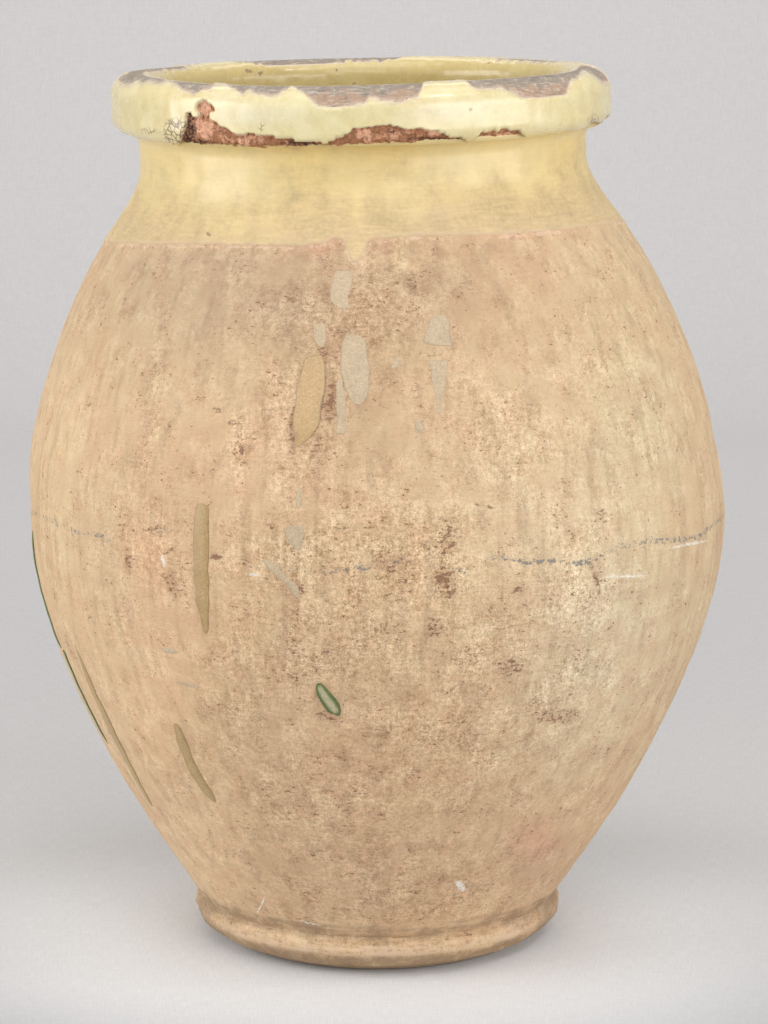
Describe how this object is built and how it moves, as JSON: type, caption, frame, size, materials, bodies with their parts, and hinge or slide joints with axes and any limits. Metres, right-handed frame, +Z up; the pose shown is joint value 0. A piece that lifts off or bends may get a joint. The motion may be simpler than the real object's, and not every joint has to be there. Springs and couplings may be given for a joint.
{
  "type": "olive jar",
  "caption": "Large hand-thrown clay storage jar with a rolled rim, a wide belly and a small foot, open at the top, with a yellow glaze over its collar.",
  "frame": {"origin": "centre of the flat underside, on the axis of the foot and the lower half", "axes": "+Z up along the jar's axis, -Y towards the front seen in the picture, +X to its right"},
  "size_m": [0.53, 0.528, 0.6649],
  "materials": {
    "terracotta": "bare sandy terracotta, matt, with throwing marks and dark specks",
    "joint_slip": "bare slip, matt, a little greyer than the wall",
    "rim_clay": "broken terracotta, rough and pink to orange",
    "yellow_glaze": "pale yellow lead-type glaze, softly glossy, worn thin on the rim",
    "ochre_glaze": "thin ochre drips, satin",
    "green_glaze": "thin grey-green drips, satin",
    "grey_glaze": "thin translucent grey drips, glossy"
  },
  "bodies": {
    "root": {"lower_wall": "terracotta", "foot_roll": "terracotta", "belly_joint_slip": "joint_slip", "upper_wall": "terracotta", "rim_roll": "rim_clay", "rim_glaze": "yellow_glaze", "collar_glaze": "yellow_glaze", "ochre_runs": "ochre_glaze", "green_runs": "green_glaze", "clear_runs": "grey_glaze"}
  },
  "joints": []
}
